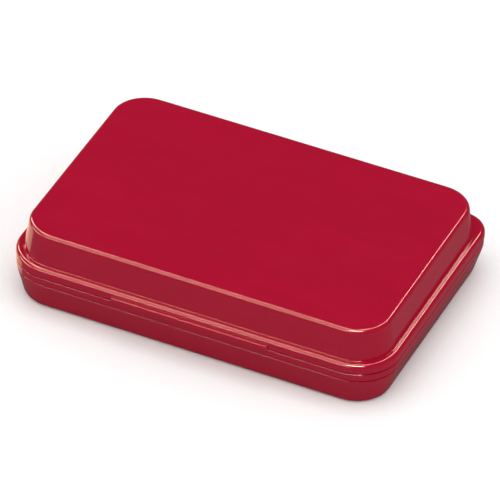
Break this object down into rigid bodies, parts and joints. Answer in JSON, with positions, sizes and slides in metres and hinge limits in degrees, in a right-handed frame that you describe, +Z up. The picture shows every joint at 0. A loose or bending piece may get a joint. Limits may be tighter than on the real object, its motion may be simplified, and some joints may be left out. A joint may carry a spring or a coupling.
{
  "type": "ink pad",
  "caption": "Hinged desk ink pad: a low round-cornered two-tier plastic case with a front finger lip, closed over a framed, inked cloth pad.",
  "frame": {"origin": "centre of the closed case's bounding rectangle, on the surface that it rests on", "axes": "+X along the long side, +Y towards the hinge, +Z up"},
  "size_m": [0.1086, 0.0768, 0.0227],
  "materials": {
    "case_plastic": "gloss",
    "well_plastic": "satin",
    "board": "matte",
    "felt": "matte",
    "sponge": "matte",
    "inked_cloth": "damp",
    "bezel_plastic": "satin",
    "pin_steel": "satin",
    "gasket_rubber": "matte",
    "label_film": "matte"
  },
  "bodies": {
    "base": {"base_tray": "case_plastic", "rim_frame": "case_plastic", "ink_well": "well_plastic", "stiffener_board": "board", "lower_felt": "felt", "upper_felt": "felt", "pad_sponge": "sponge", "pad_cloth": "inked_cloth", "pad_bezel": "bezel_plastic", "hinge_pin_left": "pin_steel", "hinge_pin_right": "pin_steel", "underside_label": "label_film"},
    "lid": {"lid_shell": "case_plastic", "lid_seal_gasket": "gasket_rubber"}
  },
  "joints": [
    {"name": "lid_hinge", "type": "hinge", "parent": "base", "child": "lid", "pos_m": [0, 0.03645, 0.01185], "axis": [-1, 0, 0], "range_deg": [0, 115]}
  ]
}
